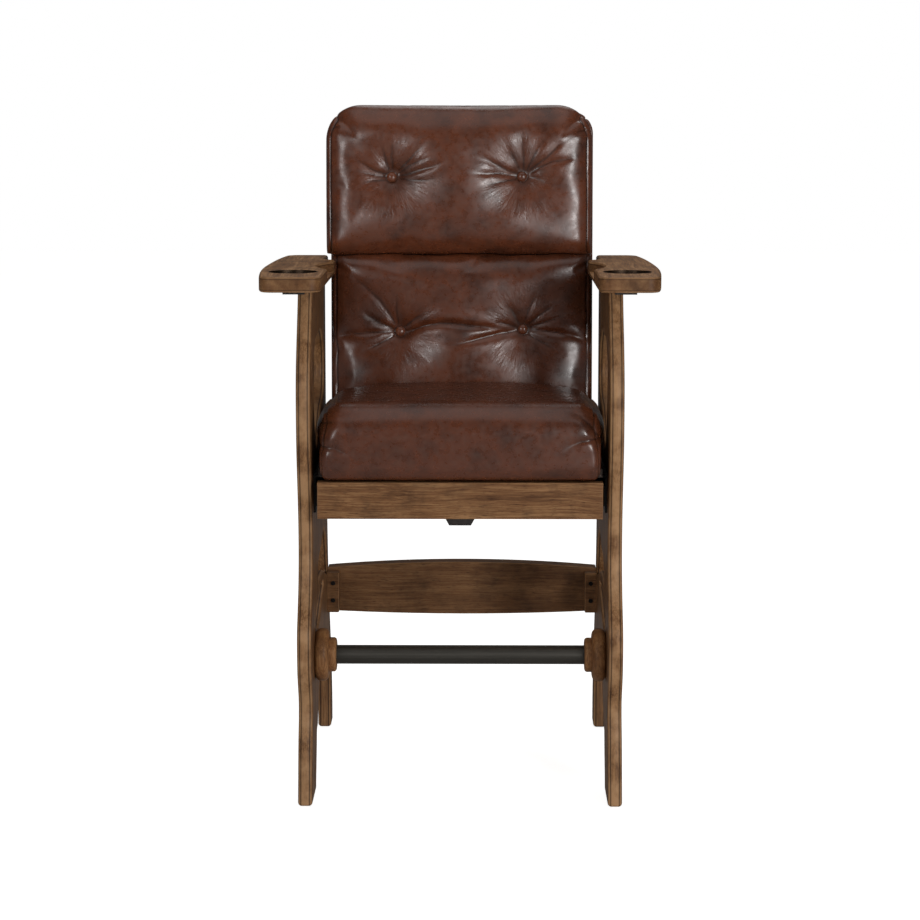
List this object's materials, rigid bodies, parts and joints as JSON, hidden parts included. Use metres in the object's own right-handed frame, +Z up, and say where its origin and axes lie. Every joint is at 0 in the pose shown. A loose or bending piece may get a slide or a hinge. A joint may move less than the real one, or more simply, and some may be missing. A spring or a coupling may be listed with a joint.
{
  "type": "spectator bar stool",
  "caption": "Tall armchair for watching games: shaped wood sides, tufted leather back and seat, footrest bar, cup recesses in the arms and a drawer under the seat.",
  "frame": {"origin": "on the floor, in the middle of the whole chair's width and depth", "axes": "+Z up, the chair faces -Y, +X to the right as seen from the front"},
  "size_m": [0.6904, 0.6205, 1.2049],
  "materials": {
    "show_wood": "brushed walnut stain, satin",
    "leather": "waxed, semi gloss",
    "plywood": "bare",
    "bar_steel": "gunmetal, satin",
    "cup_metal": "dark bronze, satin",
    "zinc_steel": "black zinc",
    "dark_fastener": "black oxide",
    "nylon": "matt"
  },
  "bodies": {
    "frame": {"side_panel_left": "show_wood", "side_panel_right": "show_wood", "arm_left": "show_wood", "arm_right": "show_wood", "arm_plate_left": "bar_steel", "arm_plate_right": "bar_steel", "cup_insert_left": "cup_metal", "cup_insert_right": "cup_metal", "cleat_left": "show_wood", "cleat_right": "show_wood", "hub_left": "show_wood", "hub_right": "show_wood", "seat_bracket_left": "bar_steel", "seat_bracket_right": "bar_steel", "back_stile_left": "plywood", "back_stile_right": "plywood", "arm_screws": "dark_fastener", "plate_screws": "dark_fastener", "foot_glides": "nylon", "stretcher": "show_wood", "cleat_screws": "dark_fastener", "footrest_bar": "bar_steel", "seat_deck": "plywood", "deck_screws": "dark_fastener", "seat_bolts": "dark_fastener", "back_bolts": "dark_fastener", "back_spacers": "nylon", "seat_cushion": "leather", "back_cushion_lower": "leather", "back_cushion_upper": "leather", "back_buttons": "leather", "back_board": "plywood", "back_rails": "plywood", "back_cover": "leather", "runner_fixed_left": "zinc_steel", "runner_fixed_right": "zinc_steel"},
    "drawer": {"drawer_front": "show_wood", "drawer_side_left": "plywood", "drawer_side_right": "plywood", "drawer_back": "plywood", "drawer_bottom": "plywood", "drawer_pull": "bar_steel", "runner_moving_left": "zinc_steel", "runner_moving_right": "zinc_steel"},
    "ball_cages": {"ball_cage_left": "zinc_steel", "ball_cage_right": "zinc_steel"}
  },
  "joints": [
    {"name": "drawer_slide", "type": "slide", "parent": "frame", "child": "drawer", "axis": [0, -1, 0], "range_m": [0, 0.19]},
    {"name": "cage_slide", "type": "slide", "parent": "frame", "child": "ball_cages", "axis": [0, -1, 0], "range_m": [0, 0.095]}
  ],
  "couplings": [
    {"joint": "cage_slide", "follows": "drawer_slide", "ratio": 0.5}
  ]
}
